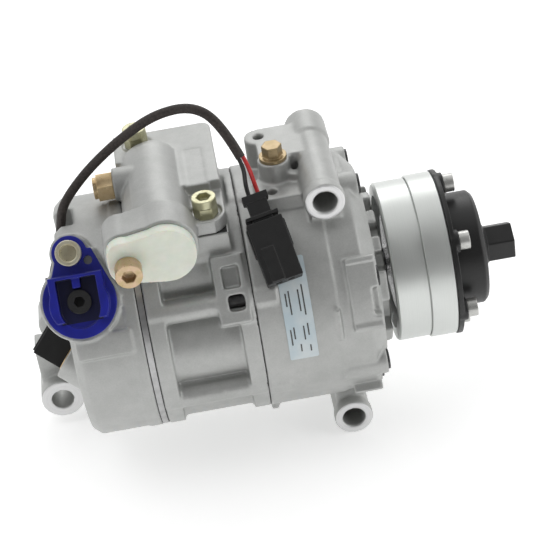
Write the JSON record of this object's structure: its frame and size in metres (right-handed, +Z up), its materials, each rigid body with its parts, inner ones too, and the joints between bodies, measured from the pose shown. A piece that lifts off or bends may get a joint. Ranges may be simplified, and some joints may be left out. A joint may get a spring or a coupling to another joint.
{
  "type": "automotive air-conditioning compressor",
  "caption": "Clutchless swash-plate refrigerant compressor: cast housings, mounting ears, capped ports, damped drive coupling and a short flying lead.",
  "frame": {"origin": "on the shaft axis, at the plane of the two front mounting ears", "axes": "+X along the shaft towards the drive end, +Y towards the engine, +Z up"},
  "size_m": [0.2458, 0.1218, 0.1856],
  "materials": {
    "cast_aluminium": "matte cast, lightly blasted",
    "turned_aluminium": "fine turned",
    "piston_aluminium": "machined",
    "valve_steel": "ground",
    "bright_steel": "ground",
    "black_iron": "black satin",
    "dark_bolts": "black oxide",
    "zinc_bolts": "yellow zinc plate",
    "brass": "machined",
    "gasket": "coated sheet",
    "seal_rubber": "matte",
    "white_cap": "milky",
    "blue_cap": "moulded",
    "black_plastic": "moulded",
    "label": "blank sticker",
    "sheath": "braided sheath",
    "red_wire": "insulation",
    "black_wire": "insulation"
  },
  "bodies": {
    "housing": {"front_housing": "cast_aluminium", "cylinder_block": "cast_aluminium", "rear_housing": "cast_aluminium", "valve_plate": "valve_steel", "front_gasket": "gasket", "rear_gasket": "gasket", "seam_o_ring": "seal_rubber", "suction_reeds": "valve_steel", "discharge_reeds": "valve_steel", "discharge_retainer": "valve_steel", "through_bolts": "dark_bolts", "muffler_housing": "cast_aluminium", "muffler_gasket": "gasket", "muffler_bolts": "zinc_bolts", "relief_valve_body": "brass", "discharge_port_cap": "white_cap", "discharge_cap_bolt": "zinc_bolts", "suction_port_cap": "blue_cap", "suction_cap_bolt": "zinc_bolts", "suction_cap_plug": "seal_rubber", "pad_bolt": "zinc_bolts", "control_valve_body": "brass", "control_valve_rings": "seal_rubber", "valve_plug": "black_plastic", "front_bearing": "bright_steel", "shaft_seal": "seal_rubber", "seal_ring": "bright_steel", "rear_bearing": "bright_steel", "thrust_bearing": "bright_steel", "rating_label": "label", "lead_sheath": "sheath", "lead_wire_red": "red_wire", "lead_wire_black": "black_wire", "connector_body": "black_plastic", "connector_boot": "black_plastic", "lead_clip": "black_plastic"},
    "rotor": {"drive_shaft": "bright_steel", "rotor_plate": "bright_steel", "ball_sleeve": "bright_steel", "drive_pins": "bright_steel", "return_spring": "bright_steel", "coupling_hub": "bright_steel", "coupling_ring_rear": "turned_aluminium", "coupling_ring_front": "turned_aluminium", "damper_rubber": "seal_rubber", "drive_plate": "black_iron", "coupling_bolts": "bright_steel"},
    "shoe_carrier": {"piston_shoes": "bright_steel"},
    "swash": {"swash_plate": "bright_steel"},
    "relief": {"relief_poppet": "brass"},
    "needle": {"control_needle": "bright_steel"},
    "piston_1": {"piston_1": "piston_aluminium"},
    "piston_2": {"piston_2": "piston_aluminium"},
    "piston_3": {"piston_3": "piston_aluminium"},
    "piston_4": {"piston_4": "piston_aluminium"},
    "piston_5": {"piston_5": "piston_aluminium"},
    "piston_6": {"piston_6": "piston_aluminium"},
    "piston_7": {"piston_7": "piston_aluminium"}
  },
  "joints": [
    {"name": "shaft_spin", "type": "hinge", "parent": "housing", "child": "rotor", "pos_m": [0, 0, 0], "axis": [1, 0, 0], "continuous": true},
    {"name": "swash_tilt", "type": "hinge", "parent": "housing", "child": "shoe_carrier", "pos_m": [-0.022, 0, 0], "axis": [0, 1, 0], "range_deg": [0, 18], "stiffness_Nm_per_rad": 2},
    {"name": "swash_spin", "type": "hinge", "parent": "shoe_carrier", "child": "swash", "pos_m": [-0.022, 0, 0], "axis": [1, 0, 0], "continuous": true},
    {"name": "relief_lift", "type": "slide", "parent": "housing", "child": "relief", "axis": [-1, 0, 0], "range_m": [0, 0.0015], "stiffness_N_per_m": 4000},
    {"name": "control_valve_travel", "type": "slide", "parent": "housing", "child": "needle", "axis": [-0.7593, 0.3733, 0.533], "range_m": [0, 0.001], "stiffness_N_per_m": 2000},
    {"name": "piston_1_stroke", "type": "slide", "parent": "housing", "child": "piston_1", "axis": [1, 0, 0], "range_m": [0, 0.01128]},
    {"name": "piston_2_stroke", "type": "slide", "parent": "housing", "child": "piston_2", "axis": [1, 0, 0], "range_m": [0, 0.00442]},
    {"name": "piston_3_stroke", "type": "slide", "parent": "housing", "child": "piston_3", "axis": [1, 0, 0], "range_m": [-0.00577, 0]},
    {"name": "piston_4_stroke", "type": "slide", "parent": "housing", "child": "piston_4", "axis": [1, 0, 0], "range_m": [-0.01161, 0]},
    {"name": "piston_5_stroke", "type": "slide", "parent": "housing", "child": "piston_5", "axis": [1, 0, 0], "range_m": [-0.00871, 0]},
    {"name": "piston_6_stroke", "type": "slide", "parent": "housing", "child": "piston_6", "axis": [1, 0, 0], "range_m": [0, 0.0007476]},
    {"name": "piston_7_stroke", "type": "slide", "parent": "housing", "child": "piston_7", "axis": [1, 0, 0], "range_m": [0, 0.00965]}
  ],
  "couplings": [
    {"joint": "swash_spin", "follows": "shaft_spin", "ratio": 1},
    {"joint": "piston_1_stroke", "follows": "swash_tilt", "m_per_rad": 0.035839},
    {"joint": "piston_2_stroke", "follows": "swash_tilt", "m_per_rad": 0.014045},
    {"joint": "piston_3_stroke", "follows": "swash_tilt", "m_per_rad": -0.018325},
    {"joint": "piston_4_stroke", "follows": "swash_tilt", "m_per_rad": -0.036896},
    {"joint": "piston_5_stroke", "follows": "swash_tilt", "m_per_rad": -0.027684},
    {"joint": "piston_6_stroke", "follows": "swash_tilt", "m_per_rad": 0.0023749},
    {"joint": "piston_7_stroke", "follows": "swash_tilt", "m_per_rad": 0.030645}
  ]
}
